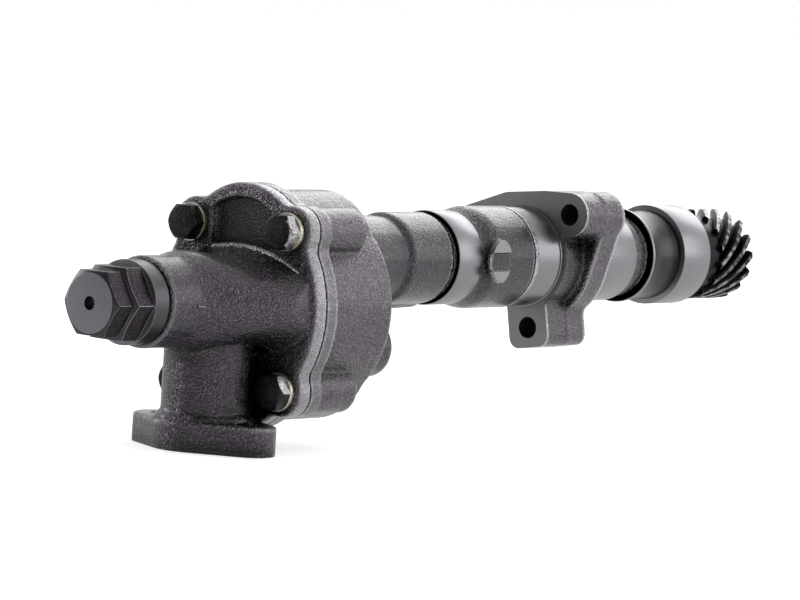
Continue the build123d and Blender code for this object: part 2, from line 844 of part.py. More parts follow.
# ---- helical drive gear: left-hand teeth, plain hub towards the journal ----
helical_lead = 2 * pi * helical_pitch_r / tan(radians(helix_angle))
helical_face = involute_outline(
    helical_module / cos(radians(helix_angle)), helical_teeth, helical_pressure_angle, 0,
    helical_root_r, helical_tip_r, helical_pitch_r,
)
with BuildPart() as helical_drive_gear:
    with BuildSketch(at_x(x_teeth_front)):
        add(helical_face)
    with BuildLine() as tooth_spine:
        Line((x_teeth_front, 0, 0), (x_teeth_back, 0, 0))
    with BuildLine() as tooth_guide:
        Helix(helical_lead, helical_width, helical_pitch_r, center=(x_teeth_front, 0, 0),
              direction=(1, 0, 0), lefthand=True)
    sweep(path=tooth_spine.wire(), binormal=tooth_guide.wire())
    with BuildSketch(at_x(x_hub_front)):
        Circle(helical_hub_r)
    extrude(amount=helical_hub_len)
    with BuildSketch(at_x(x_hub_front)):
        Circle(shaft_r + locating_clearance)
    extrude(amount=x_teeth_back - x_hub_front, mode=Mode.SUBTRACT)
    with BuildSketch(Plane.XY):
        with Locations((x_pin, 0)):
            Circle(helical_pin_r)
    extrude(amount=helical_hub_r + 1, both=True, mode=Mode.SUBTRACT)
keep(helical_drive_gear.part, "helical_drive_gear")

with BuildPart() as helical_gear_pin:
    with BuildSketch(Plane.XY):
        with Locations((x_pin, 0)):
            Circle(helical_pin_r)
    extrude(amount=helical_hub_r - helical_pin_recess, both=True)
keep(helical_gear_pin.part, "helical_gear_pin")

with BuildPart() as thrust_washer:
    with BuildSketch(at_x(x_housing_end)):
        Circle(thrust_washer_r)
        Circle(shaft_r + washer_bore_clearance, mode=Mode.SUBTRACT)
    extrude(amount=thrust_washer_t)
keep(thrust_washer.part, "thrust_washer")


# ---- cover bolts, their spring washers and the cover dowels ----
x_bolt_seat = x_cover_front - washer_t
bolt_shank_r = bolt_d / 2 - thread_clearance
with BuildPart() as cover_bolts:
    for centre in bolt_centres:
        add(hexagon_bar(x_bolt_seat, bolt_head_h, bolt_head_af, centre, bolt_head_chamfer))
        with BuildSketch(at_x(x_bolt_seat)):
            with Locations(centre):
                Circle(bolt_shank_r)
        extrude(amount=washer_t + cover_flange_t + bolt_thread_depth)
keep(cover_bolts.part, "cover_bolts")

with BuildPart() as spring_washers:
    with BuildSketch(at_x(x_cover_front)):
        for centre in bolt_centres:
            with Locations(centre):
                Circle(washer_r)
                Circle(bolt_d / 2 + washer_bore_clearance, mode=Mode.SUBTRACT)
            with Locations((centre[0] + washer_r * washer_gap_at, centre[1])):
                Rectangle(washer_r, washer_gap, rotation=washer_gap_slant, mode=Mode.SUBTRACT)
    extrude(amount=-washer_t)
keep(spring_washers.part, "spring_washers")

with BuildPart() as cover_dowels:
    with BuildSketch(at_x(x_joint - dowel_in_cover)):
        with Locations((-dowel_y, z_mid), (dowel_y, z_mid)):
            Circle(dowel_r)
    extrude(amount=dowel_len)
keep(cover_dowels.part, "cover_dowels")


# ---- relief valve: hollow body in the barrel, cap, seals, piston, shim and spring ----
relief_axis = (0, barrel_z)


def relief_tube(x_start, length, outer_r, inner_r, label):
    """Plain ring or tube on the relief-valve axis, reaching towards +X."""
    with BuildPart() as tube:
        with BuildSketch(at_x(x_start)):
            with Locations(relief_axis):
                Circle(outer_r)
                Circle(inner_r, mode=Mode.SUBTRACT)
        extrude(amount=length)
    keep(tube.part, label)


with BuildPart() as relief_valve_body:
    add(hexagon_bar(x_body_hex, body_hex_len, body_hex_af, relief_axis, body_hex_chamfer))
    with BuildSketch(at_x(x_body_hex)):
        with Locations(relief_axis):
            Circle(body_collar_r)
    extrude(amount=body_collar_t)
    with BuildSketch(at_x(x_body_collar)):
        with Locations(relief_axis):
            Circle(body_thread_r - thread_clearance)
    extrude(amount=body_seal_t + body_thread_len)
    with BuildSketch(at_x(x_body_front)):
        with Locations(relief_axis):
            Circle(body_bore_r)
    extrude(amount=x_barrel_end + body_thread_len - x_body_front, mode=Mode.SUBTRACT)
keep(relief_valve_body.part, "relief_valve_body")

with BuildPart() as relief_valve_cap:
    add(hexagon_bar(x_cap_back, cap_hex_len, cap_hex_af, relief_axis, cap_hex_chamfer))
    with BuildSketch(at_x(x_cap_back)):
        with Locations(relief_axis):
            Circle(body_bore_r - thread_clearance)
    extrude(amount=cap_seal_t + cap_thread_len)
    with BuildSketch(at_x(x_cap_front)):
        with Locations(relief_axis):
            Circle(cap_hole_r)
    extrude(amount=cap_hole_depth, mode=Mode.SUBTRACT)
keep(relief_valve_cap.part, "relief_valve_cap")

relief_tube(x_body_collar, body_seal_t, body_collar_r - seal_inset, body_thread_r, "relief_body_seal")
relief_tube(x_cap_back, cap_seal_t, cap_hex_af / 2 - seal_inset, body_bore_r, "relief_cap_seal")
x_cap_thread_end = x_body_front + cap_thread_len
relief_tube(x_cap_thread_end, shim_t, shim_r, shim_hole_r, "relief_spring_shim")

with BuildPart() as relief_piston:
    with BuildSketch(at_x(x_relief_seat)):
        with Locations(relief_axis):
            Circle(piston_r)
    extrude(amount=-piston_len)
    with BuildSketch(at_x(x_relief_seat - piston_len)):
        with Locations(relief_axis):
            Circle(piston_r - piston_wall)
    extrude(amount=piston_len - piston_crown_t, mode=Mode.SUBTRACT)
keep(relief_piston.part, "relief_piston")

# compression spring from the shim to the underside of the piston crown
x_spring_start = x_cap_thread_end + shim_t
spring_len = x_relief_seat - piston_crown_t - x_spring_start
with BuildPart() as relief_spring:
    with BuildLine() as spring_path:
        Helix((spring_len - spring_wire) / spring_turns, spring_len - spring_wire, spring_r,
              center=(x_spring_start + spring_wire / 2, 0, barrel_z), direction=(1, 0, 0))
    with BuildSketch(Plane(origin=spring_path.line @ 0, z_dir=spring_path.line % 0)):
        Circle(spring_wire / 2)
    sweep(path=spring_path.wire())
keep(relief_spring.part, "relief_spring")
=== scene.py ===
from math import cos, pi, radians, sin

import bmesh
import bpy
from mathutils import Matrix, Vector


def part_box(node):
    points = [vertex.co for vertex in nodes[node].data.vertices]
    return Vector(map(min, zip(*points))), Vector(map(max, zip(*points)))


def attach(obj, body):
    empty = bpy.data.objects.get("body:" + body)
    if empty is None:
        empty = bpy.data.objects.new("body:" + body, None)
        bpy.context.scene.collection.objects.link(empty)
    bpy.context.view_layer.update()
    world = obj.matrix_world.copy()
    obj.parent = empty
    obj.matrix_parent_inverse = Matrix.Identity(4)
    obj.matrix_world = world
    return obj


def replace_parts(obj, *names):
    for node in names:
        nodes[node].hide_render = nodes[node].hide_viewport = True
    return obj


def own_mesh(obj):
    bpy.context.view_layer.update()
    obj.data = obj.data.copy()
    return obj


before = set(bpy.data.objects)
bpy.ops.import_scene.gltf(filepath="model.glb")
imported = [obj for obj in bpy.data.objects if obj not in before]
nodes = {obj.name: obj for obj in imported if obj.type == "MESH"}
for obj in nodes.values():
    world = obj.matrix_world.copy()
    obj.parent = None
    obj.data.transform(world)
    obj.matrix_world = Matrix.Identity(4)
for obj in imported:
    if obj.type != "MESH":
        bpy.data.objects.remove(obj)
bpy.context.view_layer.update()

# Studio camera: a long lens low in front of the cover, a little above the shaft, looking along the
# pump to its helical gear.
eye = Vector((-1.51479, -1.10039, 0.11230))
eye_right = Vector((0.61764, -0.78372, 0.06561))
eye_up = Vector((0.01619, 0.09608, 0.99524))
eye_back = Vector((-0.78629, -0.61364, 0.07203))
lens = bpy.data.cameras.new("studio_camera")
lens.sensor_width = 36.0
lens.lens = 202.5
lens.clip_start = 0.05
lens.clip_end = 60.0
camera = bpy.data.objects.new("studio_camera", lens)
turn = Matrix((eye_right, eye_up, eye_back)).transposed().to_4x4()
camera.matrix_world = Matrix.Translation(eye) @ turn
bpy.context.scene.collection.objects.link(camera)
bpy.context.scene.camera = camera
bpy.context.scene.view_settings.view_transform = "Standard"


# Gear case and neck root: one grey-iron sand casting with the long neck.  The sand leaves a fine
# pebble all over, dark with phosphate in the pits and rubbed brighter on the crests.  Painted shade
# darkens its corners and hollows, its edges are painted pale as rubbed wear and painted highlight,
# and sparse specks are painted glints.  A dark line marks its joint with the cover, and a painted
# shadow line runs round the flange's hub.
def add_node(tree, kind, settings=None, inputs=None):
    """Add a shader node: its settings first, then its sockets, each with a value or a wire."""
    made = tree.nodes.new(kind)
    for name, value in (settings or {}).items():
        setattr(made, name, value)
    for name, value in (inputs or {}).items():
        if isinstance(value, Wire):
            tree.links.new(value.socket, made.inputs[name])
        else:
            made.inputs[name].default_value = value
    return made


class Wire:
    """One output of a shader node.  Arithmetic on it adds Math nodes to the same tree."""

    def __init__(self, socket):
        self.socket = socket

    def node(self, kind, settings=None, inputs=None, output=0):
        return Wire(add_node(self.socket.id_data, kind, settings, inputs).outputs[output])

    def math(self, operation, other=0.0, swapped=False):
        pair = (other, self) if swapped else (self, other)
        return self.node("ShaderNodeMath", {"operation": operation}, dict(enumerate(pair)))

    def __add__(self, other):
        return self.math("ADD", other)

    def __radd__(self, other):
        return self.math("ADD", other, swapped=True)

    def __sub__(self, other):
        return self.math("SUBTRACT", other)

    def __rsub__(self, other):
        return self.math("SUBTRACT", other, swapped=True)

    def __mul__(self, other):
        return self.math("MULTIPLY", other)

    def __rmul__(self, other):
        return self.math("MULTIPLY", other, swapped=True)

    def step(self, start, end):
        """0 before start, 1 past end, smooth between; start above end turns it round."""
        return self.node("ShaderNodeMapRange", {"interpolation_type": "SMOOTHSTEP"},
                         {"Value": self, "From Min": start, "From Max": end})

    def tint(self, low, high):
        """Colour from low to high by this share; each is a colour or a wire of one."""
        low, high = (c if isinstance(c, Wire) else (*c, 1.0) for c in (low, high))
        return self.node("ShaderNodeMix", {"data_type": "RGBA"}, {"Factor": self, 6: low, 7: high}, 2)

    def noise(self, size, detail=2.0, rough=0.5):
        """Noise at this place, its blobs about size metres across."""
        return self.node("ShaderNodeTexNoise", None,
                         {"Vector": self, "Scale": 1 / size, "Detail": detail, "Roughness": rough})

    def bump(self, depth, strength=1.0):
        """Normal from this height, depth in metres for a height of 1."""
        return self.node("ShaderNodeBump", None,
                         {"Height": self, "Distance": depth, "Strength": strength})

    def parts(self):
        split = self.node("ShaderNodeSeparateXYZ", None, {"Vector": self})
        return [Wire(socket) for socket in split.socket.node.outputs]

    def off_shaft(self):
        """Distance of this place from the shaft's axis."""
        _, across, up = self.parts()
        return (across * across + up * up).math("SQRT")


class Finish:
    """A procedural surface: constants on the shader's own sockets, what varies is wired in."""

    def __init__(self, name, **constants):
        self.material = bpy.data.materials.new(name)
        self.material.use_nodes = True
        tree = self.material.node_tree
        tree.nodes.clear()
        self.shader = add_node(tree, "ShaderNodeBsdfPrincipled", None, {
            socket.replace("_", " "): value for socket, value in constants.items()})
        add_node(tree, "ShaderNodeOutputMaterial", None, {"Surface": Wire(self.shader.outputs[0])})
        self.place = Wire(add_node(tree, "ShaderNodeTexCoord").outputs["Object"])

    def wire(self, **wires):
        for socket, value in wires.items():
            self.shader.id_data.links.new(value.socket, self.shader.inputs[socket.replace("_", " ")])
        return self.material


x_joint = -0.199
joint_fade, joint_full = 0.00062, 0.00030
hub_shadow_front, hub_shadow_back = (-0.0255, -0.0250), (-0.0232, -0.0242)
hub_shadow_r = (0.0232, 0.0226)
pimple, grit, glint_size = 0.00105, 0.00035, 0.0006
pimple_patch, sand_cloud = 0.0028, 0.009
corner_shade_reach, edge_wear_and_highlight_reach = 0.011, 0.0021
cast_relief = 0.00045
edge_wear_and_highlight_colour = (0.66, 0.64, 0.67)


def cast_iron(name, pit, crest, oil=0.45, edge_band=None, corner_shade_range=(0.90, 0.47)):
    """Sand-cast iron; edge_band is where a milled edge starts and is full along x, and its colour."""
    finish = Finish(name, Metallic=0.88, Coat_Roughness=0.20)
    place = finish.place
    along = place.parts()[0]
    grains = place.node("ShaderNodeTexVoronoi", None, {"Vector": place, "Scale": 1 / pimple})
    fine = place.noise(grit, 1.0)
    cloud = place.noise(sand_cloud, 3.0, 0.6)
    uneven = place.noise(pimple_patch, 1.0).step(0.34, 0.60)
    pimples = grains.step(0.70, 0.26) * (0.35 + 0.65 * uneven)
    height = pimples + 0.5 * fine + 2.5 * cloud
    open_air = place.node("ShaderNodeAmbientOcclusion", {"samples": 6}, {"Distance": corner_shade_reach}, 1)
    corner = place.node("ShaderNodeAmbientOcclusion",
                        {"samples": 6, "inside": True, "only_local": True},
                        {"Distance": edge_wear_and_highlight_reach}, 1)
    # Painted shade: where nearby shapes shut a point in, in corners and hollows, its colour goes near
    # black.
    corner_shade = open_air.step(*corner_shade_range)
    # Partly rubbed wear and partly painted highlight: convex edges are painted pale.
    edge_wear_and_highlight = corner.step(0.93, 0.66)
    skin = (0.25 * fine + 0.65 * pimples + 0.40 * cloud).tint(pit, crest)
    if edge_band:
        start, full, colour = edge_band
        scored = place.node("ShaderNodeVectorMath", {"operation": "MULTIPLY"},
                            {0: place, 1: (0.12, 1.0, 1.0)}).noise(0.0006, 2.0)
        facing = place.node("ShaderNodeNewGeometry", output=1).parts()[0]
        edge = along.step(start, full) * facing.math("ABSOLUTE").step(0.75, 0.45)
        skin = (edge * (0.62 + 0.55 * scored)).tint(skin, colour)
    # Painted glints: sparse specks of a brighter colour stand in for sparkles of light on the grains.
    glint = place.noise(glint_size, 0.0).step(0.60, 0.76)
    glinting = (0.42 * glint).tint(skin, tuple(2.2 * c for c in crest))
    lit = (edge_wear_and_highlight * (0.45 + 0.7 * fine)).tint(glinting, edge_wear_and_highlight_colour)
    joint_line = (along - x_joint).math("ABSOLUTE").step(joint_fade, joint_full)
    # Painted shadow: a near-black ring on the side of the flange's hub, just behind its front face.
    hub_shadow_line = (along.step(*hub_shadow_back) * along.step(*hub_shadow_front)
                * place.off_shaft().step(*hub_shadow_r))
    joint_and_shadow_lines = joint_line.math("MAXIMUM", hub_shadow_line)
    return finish.wire(
        Base_Color=(0.95 * corner_shade).math("MAXIMUM", 0.97 * joint_and_shadow_lines).tint(lit, tuple(0.15 * c for c in pit)),
        Roughness=0.33 - 0.08 * pimples - 0.05 * edge_wear_and_highlight,
        Coat_Weight=oil * (1 - corner_shade),
        Normal=height.bump(cast_relief),
    )


def welded_copy(source):
    """A CAD node's mesh with its loose triangles joined."""
    shape = bmesh.new()
    shape.from_mesh(nodes[source].data)
    bmesh.ops.remove_doubles(shape, verts=shape.verts, dist=2e-6)
    return shape


def cut(shape, x, outward):
    """Cut a closed shape square across at x, drop what lies outward of it and close the face."""
    outward = (outward, 0, 0)
    sliced = bmesh.ops.bisect_plane(
        shape, geom=[*shape.verts, *shape.edges, *shape.faces], dist=1e-7,
        plane_co=(x, 0, 0), plane_no=outward, clear_outer=True,
    )
    rim = [e for e in sliced["geom_cut"] if isinstance(e, bmesh.types.BMEdge)]
    bmesh.ops.triangle_fill(shape, edges=rim, use_beauty=True, normal=outward)


def piece(name, shape, material, body="pump_body", crease=35.0):
    """Turn a finished bmesh into a named piece that rides on its body."""
    mesh = bpy.data.meshes.new(name)
    shape.to_mesh(mesh)
    shape.free()
    mesh.materials.append(material)
    mesh.shade_smooth()
    mesh.set_sharp_from_angle(angle=radians(crease))
    made = bpy.data.objects.new(name, mesh)
    bpy.context.scene.collection.objects.link(made)
    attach(made, body)
    return made


def relax(shape, verts, passes):
    """Smooth these points so many times."""
    for _ in range(passes):
        bmesh.ops.smooth_vert(shape, verts=verts, factor=0.5,
                              use_axis_x=True, use_axis_y=True, use_axis_z=True)


def soften(shape, grain, passes):
    """Remesh a closed shape into even quads of that grain and round its edges as a casting's are."""
    mesh = bpy.data.meshes.new("rough")
    shape.to_mesh(mesh)
    shape.free()
    rough = bpy.data.objects.new("rough", mesh)
    bpy.context.scene.collection.objects.link(rough)
    voxels = rough.modifiers.new("voxels", "REMESH")
    voxels.mode = "VOXEL"
    voxels.voxel_size = grain
    even = bpy.data.meshes.new_from_object(
        rough.evaluated_get(bpy.context.evaluated_depsgraph_get()))
    bpy.data.objects.remove(rough)
    soft = bmesh.new()
    soft.from_mesh(even)
    bpy.data.meshes.remove(even)
    relax(soft, soft.verts, passes)
    return soft


iron = cast_iron("cast_iron", (0.020, 0.016, 0.021), (0.170, 0.151, 0.175),
                 edge_band=(-0.1916, -0.1924, (0.20, 0.185, 0.205)))
neck_iron = cast_iron("neck_iron", (0.008, 0.006, 0.009), (0.085, 0.075, 0.090), oil=0.60)
hair = 0.0002   # cuts miss the CAD's own faces by this much
x_undercut_front, x_neck_split = -0.095, -0.146
case = welded_copy("pump_housing")
cut(case, x_undercut_front - hair, 1)
case = soften(case, grain=0.00067, passes=2)
neck_root = case.copy()
cut(case, x_neck_split, 1)
cut(neck_root, x_neck_split, -1)
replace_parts(piece("gear_case_casting", case, iron), "pump_housing")
piece("neck_root_casting", neck_root, neck_iron)


# Turned ring: the first ground band of the neck, turned and ground on the same centres as the
# shaft bore, with a tool undercut in front.  The wheel leaves fine rings round the axis.
def ground_iron(name, colour, roughness, streak=0.10, darker=None):
    """Ground or turned metal with rings round x; darker is where along x it starts and is full."""
    finish = Finish(name, Metallic=1.0)
    along = finish.place.parts()[0]
    rings = along.node("ShaderNodeTexNoise", {"noise_dimensions": "1D"},
                       {"W": along, "Scale": 4200.0, "Detail": 3.0})
    cloud = finish.place.noise(0.005, 3.0, 0.6)
    specks = finish.place.noise(0.0009, 1.0).step(0.30, 0.42)
    shade = (0.25 + 0.5 * rings + 0.25 * cloud) * (0.75 + 0.25 * specks)
    darkest = 0.55
    if darker:
        shade = shade - 0.8 * along.step(*darker)
        darkest = 0.25
    return finish.wire(
        Base_Color=shade.tint(tuple(darkest * c for c in colour), colour),
        Roughness=roughness + streak * rings + 0.10 * cloud,
        Normal=(rings + 0.6 * cloud).bump(0.00003, 0.6),
    )


bore_r = 0.0112


def turned(profile, relief=0.00018):
    """Closed ring turned from (x, radius) stations along the shaft axis; its corners are broken."""
    shape = bmesh.new()
    points = [(profile[0][0], bore_r), *profile, (profile[-1][0], bore_r)]
    verts = [shape.verts.new((x, 0, r)) for x, r in points]
    edges = [shape.edges.new((verts[i - 1], verts[i])) for i in range(len(verts))]
    bmesh.ops.spin(shape, geom=[*verts, *edges], cent=(0, 0, 0), axis=(1, 0, 0),
                   angle=2 * pi, steps=160, use_merge=True)
    bmesh.ops.recalc_face_normals(shape, faces=shape.faces)
    corners = [e for e in shape.edges if len(e.link_faces) == 2
               and e.calc_face_angle() > radians(30)
               and max(Vector((0, v.co.y, v.co.z)).length for v in e.verts) > bore_r + 1e-4]
    bmesh.ops.bevel(shape, geom=corners, affect="EDGES", offset=relief, segments=2,
                    profile=0.5, material=-1)
    return shape


ground = ground_iron("ground_iron", (0.315, 0.308, 0.325), roughness=0.22)
# Its near-black colour is partly oxide and partly painted shade in the tool undercut.
oxide_and_shade_iron = cast_iron("tool_undercut", (0.008, 0.007, 0.009), (0.060, 0.054, 0.063), oil=0.2)
x_ring_front, x_ring_back, ring_r = -0.092, -0.077, 0.019
undercut_r = 0.0170
piece("ring_undercut", turned([
    (x_undercut_front, 0.0184), (-0.0935, undercut_r), (x_ring_front, undercut_r), (x_ring_front, 0.01885),
]), oxide_and_shade_iron)
piece("turned_ring", turned([(x_ring_front, ring_r), (x_ring_back, ring_r)]), ground)

# Neck flare: the neck widens behind the ring, still rough from the sand, with a raised oval pad on
# its -Y side.  A rough slot crosses the pad, and the two flats that it leaves are milled.
x_flare_cut, x_flare_end, flare_r = -0.0435, -0.0413, 0.0208
flare = welded_copy("pump_housing")
cut(flare, x_ring_back + hair, -1)
cut(flare, x_flare_cut, 1)
piece("neck_flare_casting", soften(flare, grain=0.00055, passes=3), neck_iron)
piece("flare_end", turned([(x_flare_cut, flare_r), (x_flare_end, flare_r)]), neck_iron)

milled = ground_iron("milled_iron", (0.39, 0.375, 0.395), roughness=0.42)
pad_x, pad_y, pad_z = -0.0685, -0.0225, 0.0003
pad_half_length, pad_half_height, slot_half = 0.0066, 0.0085, 0.0034
pad_depth, pad_edge = 0.0022, 0.00035
for name, above in (("pad_flat_upper", 1), ("pad_flat_lower", -1)):
    flat = bmesh.new()
    bmesh.ops.create_circle(flat, cap_ends=True, segments=64, radius=1.0)
    bmesh.ops.scale(flat, verts=flat.verts, vec=(pad_half_length, pad_half_height, 1.0))
    bmesh.ops.rotate(flat, verts=flat.verts, matrix=Matrix.Rotation(radians(90), 3, "X"))
    bmesh.ops.translate(flat, verts=flat.verts, vec=(pad_x, pad_y, pad_z))
    bmesh.ops.bisect_plane(flat, geom=[*flat.verts, *flat.edges, *flat.faces], dist=1e-7,
                           plane_co=(0, 0, above * slot_half), plane_no=(0, 0, -above), clear_outer=True)
    grown = bmesh.ops.extrude_face_region(flat, geom=flat.faces[:])
    bmesh.ops.translate(flat, verts=[v for v in grown["geom"] if isinstance(v, bmesh.types.BMVert)],
                        vec=(0, pad_depth, 0))
    bmesh.ops.recalc_face_normals(flat, faces=flat.faces)
    outline = [e for e in flat.edges if max(v.co.y for v in e.verts) < pad_y + hair]
    bmesh.ops.bevel(flat, geom=outline, affect="EDGES", offset=pad_edge, segments=3, profile=0.5,
                    material=-1)
    piece(name, flat, milled, crease=14.0)

# Pilot: the ground band in front of the flange, turned in one setting with the ring.  A small raised
# edge stands at its root, against the flange.
x_flange_front, x_pilot_edge = -0.025, -0.0264
pilot_r, pilot_edge_r = 0.0203, 0.0209
piece("pilot_band", turned([
    (x_flare_end, pilot_r), (x_pilot_edge, pilot_r),
    (x_pilot_edge, pilot_edge_r), (x_flange_front, pilot_edge_r),
]), ground)

# Mounting flange: cast with the neck.  The two faces that take bolts and block are milled flat, and
# its three bolt holes are drilled.
x_seat = 0
flange = welded_copy("pump_housing")
cut(flange, x_flange_front - hair, -1)
cut(flange, x_seat + hair, 1)
spare = 0.002   # stock on both faces, cut away again once the edges are round
for vert in flange.verts:
    if vert.co.x < x_flange_front + 1e-5:
        vert.co.x -= spare
    if vert.co.x > x_seat - 1e-5:
        vert.co.x += spare
flange = soften(flange, grain=0.00065, passes=4)
cut(flange, x_flange_front, -1)
cut(flange, x_seat, 1)
flange_casting = piece("flange_casting", flange, iron)
# Painted shade: the walls of the three bolt holes are painted near black and take no sheen.
hole_shade = Finish("drilled_hole_shade", Roughness=0.9, Specular_IOR_Level=0.1)
hole_shade_grain = hole_shade.place.noise(0.0006, 2.0)
hole_shade.wire(Base_Color=hole_shade_grain.tint((0.004, 0.003, 0.004), (0.022, 0.020, 0.023)),
             Normal=hole_shade_grain.bump(0.0001, 0.5))
flange_casting.data.materials.append(milled)
flange_casting.data.materials.append(hole_shade.material)
hole_circle_r, hole_angles, hole_wall_r = 0.0295, (40, 160, -80), 0.0049
holes = [hole_circle_r * Vector((0, -cos(radians(a)), sin(radians(a)))) for a in hole_angles]
for face in flange_casting.data.polygons:
    centre = face.center
    off_axis = Vector((0, centre.y, centre.z))
    if (abs(face.normal.x) > 0.999
            and min(abs(centre.x - x_seat), abs(centre.x - x_flange_front)) < 1e-5):
        face.material_index = 1
    elif abs(face.normal.x) < 0.5 and min((off_axis - hole).length for hole in holes) < hole_wall_r:
        face.material_index = 2

# Bands behind the flange: the ground band that enters the engine block, a rough band as cast, a
# narrow undercut with its lip, the polished groove, and the ground journal at the neck's end.
polished = ground_iron("polished_groove", (0.080, 0.074, 0.082), roughness=0.20, darker=(0.0555, 0.0600))
lip_shade = cast_iron("lip_undercut_iron", (0.010, 0.008, 0.011), (0.100, 0.090, 0.105), oil=0.3,
                      corner_shade_range=(0.42, 0.05))
x_band_end, x_rough_end, x_lip, x_groove, x_journal, x_end = 0.030, 0.039, 0.041, 0.0426, 0.0624, 0.0831
lip_undercut_r, journal_r = 0.0163, 0.0211
groove_line = [(x_groove, 0.0196), (0.0438, 0.0187), (0.0455, 0.0180), (0.0480, 0.0176), (0.0510, 0.0176),
               (0.0540, 0.0179), (0.0570, 0.0184), (0.0604, 0.0190), (x_journal, 0.0190)]
piece("block_band", turned([(x_seat - 0.001, 0.019), (x_band_end, 0.019)]), ground)
piece("rough_band", turned([(x_band_end, 0.018), (x_rough_end, 0.0174)]), iron)
piece("lip_undercut", turned([
    (x_rough_end, 0.0172), (0.040, lip_undercut_r), (x_lip, lip_undercut_r), (x_lip, 0.01975),
]), lip_shade)
piece("groove_lip", turned([(x_lip, 0.0199), (x_groove, 0.0199)]), ground)
piece("groove", turned(groove_line), polished)
piece("end_journal", turned([(x_journal, journal_r), (0.0817, journal_r), (x_end, 0.0197)]), ground)

# Cover: its own sand casting, with the relief-valve barrel, shoulders and suction elbow in one.  The
# end of the barrel is dressed smoother than the rest.
cover_iron = cast_iron("cover_iron", (0.020, 0.016, 0.021), (0.150, 0.131, 0.155),
                       edge_band=(-0.2060, -0.2046, (0.40, 0.385, 0.41)))
cover_shape = soften(welded_copy("suction_cover"), grain=0.00068, passes=2)
x_barrel_end, x_shoulder, column_top = -0.260, -0.230, -0.034
dressed = [v for v in cover_shape.verts
           if x_barrel_end < v.co.x < x_shoulder and v.co.z > column_top]
relax(cover_shape, dressed, passes=16)
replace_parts(piece("cover_casting", cover_shape, cover_iron), "suction_cover")

# Pocket lip: the rounded ledge between the arch pocket and the shoulders, painted pale: a painted
# highlight.
# It is cast with the cover and runs round the barrel in an arc.
ledge_highlight_iron = cast_iron("pocket_lip_highlight", (0.12, 0.115, 0.11), (0.45, 0.44, 0.41), oil=0.6, corner_shade_range=(0.30, 0.05))
ledge_centre, ledge_place = (0, 0, -0.0519), (-0.2062, 0, 0.0056)
ledge_r, ledge_start, ledge_sweep, tip_size = 0.0011, radians(-14), radians(46), 0.3
ledge = bmesh.new()
bmesh.ops.create_circle(ledge, cap_ends=False, segments=16, radius=ledge_r)
bmesh.ops.rotate(ledge, verts=ledge.verts, matrix=Matrix.Rotation(radians(90), 3, "X"))
bmesh.ops.translate(ledge, verts=ledge.verts, vec=ledge_place)
bmesh.ops.rotate(ledge, cent=ledge_centre, verts=ledge.verts,
                 matrix=Matrix.Rotation(ledge_start, 3, "X"))
first_end = ledge.verts[:]
swept = bmesh.ops.spin(ledge, geom=[*ledge.verts, *ledge.edges], cent=ledge_centre, axis=(1, 0, 0),
                       angle=ledge_sweep, steps=60)
last_end = [v for v in swept["geom_last"] if isinstance(v, bmesh.types.BMVert)]
for tip in (first_end, last_end):
    middle = sum((v.co for v in tip), Vector()) / len(tip)
    bmesh.ops.scale(ledge, verts=tip, vec=(tip_size, tip_size, tip_size),
                    space=Matrix.Translation(-middle))
bmesh.ops.holes_fill(ledge, edges=[e for e in ledge.edges if e.is_boundary])
bmesh.ops.recalc_face_normals(ledge, faces=ledge.faces)
piece("pocket_lip", ledge, ledge_highlight_iron)

# Pin mark: a short bright ridge on the side of the barrel, where a core pin left its seam in the
# cast iron.
seam_size, seam_edge = (0.0052, 0.0010, 0.0007), 0.0003
seam_place, seam_tilt = (-0.2461, -0.0175, -0.0154), radians(5)
seam = bmesh.new()
bmesh.ops.create_cube(seam, size=1.0)
bmesh.ops.scale(seam, verts=seam.verts, vec=seam_size)
bmesh.ops.bevel(seam, geom=seam.edges, affect="EDGES", offset=seam_edge, segments=3, profile=0.5,
                material=-1)
bmesh.ops.rotate(seam, verts=seam.verts, matrix=Matrix.Rotation(seam_tilt, 3, "Y"))
bmesh.ops.translate(seam, verts=seam.verts, vec=seam_place)
piece("barrel_seam_mark", seam, ground)


# Cover bolts: four M8 hexagon bolts, forged and blackened.  On the two on the -Y side, the facets
# that face -Y are painted bright: a painted highlight where the light falls on them.
def softened(name, source, material, body, relief, crease=25.0, edge_wear_and_highlight=None):
    """A machined piece: its CAD faces made whole and its sharp edges broken; the broken edges take a second
    finish of rubbed wear and painted highlight if one is given.
    """
    shape = welded_copy(source)
    bmesh.ops.dissolve_limit(shape, angle_limit=radians(0.5), verts=shape.verts, edges=shape.edges,
                             use_dissolve_boundaries=False, delimit={"NORMAL"})
    sharp = [e for e in shape.edges if len(e.link_faces) == 2 and e.calc_face_angle() > radians(crease)]
    broken = bmesh.ops.bevel(shape, geom=sharp, affect="EDGES", offset=relief, segments=2, profile=0.5,
                             material=-1, clamp_overlap=True)
    for face in broken["faces"]:
        face.material_index = 1
    made = piece(name, shape, material, body, crease=14.0)
    made.data.materials.append(edge_wear_and_highlight or material)
    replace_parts(made, source)
    return made


black = Finish("blackened_bolt", Metallic=1.0)
forged = black.place.noise(0.0006, 2.0)
mill_scale = black.place.noise(0.004, 2.0)
black.wire(Base_Color=(forged.step(0.60, 0.70) * 0.6 + 0.25 * mill_scale).tint(
               (0.012, 0.012, 0.014), (0.20, 0.20, 0.21)),
           Roughness=0.26 + 0.25 * mill_scale, Normal=forged.bump(0.0003, 0.6))
facet_highlight = Finish("painted_facet_highlight", Metallic=1.0)
facet_highlight_mottle = facet_highlight.place.noise(0.0010, 3.0, 0.6)
facet_highlight.wire(Base_Color=facet_highlight_mottle.step(0.36, 0.56).tint((0.22, 0.22, 0.225), (0.66, 0.65, 0.66)),
            Roughness=0.24 + 0.2 * facet_highlight_mottle, Normal=facet_highlight_mottle.bump(0.0002, 0.6))
bolts = softened("cover_bolt_set", "cover_bolts", black.material, "pump_body",
                 relief=0.00022)
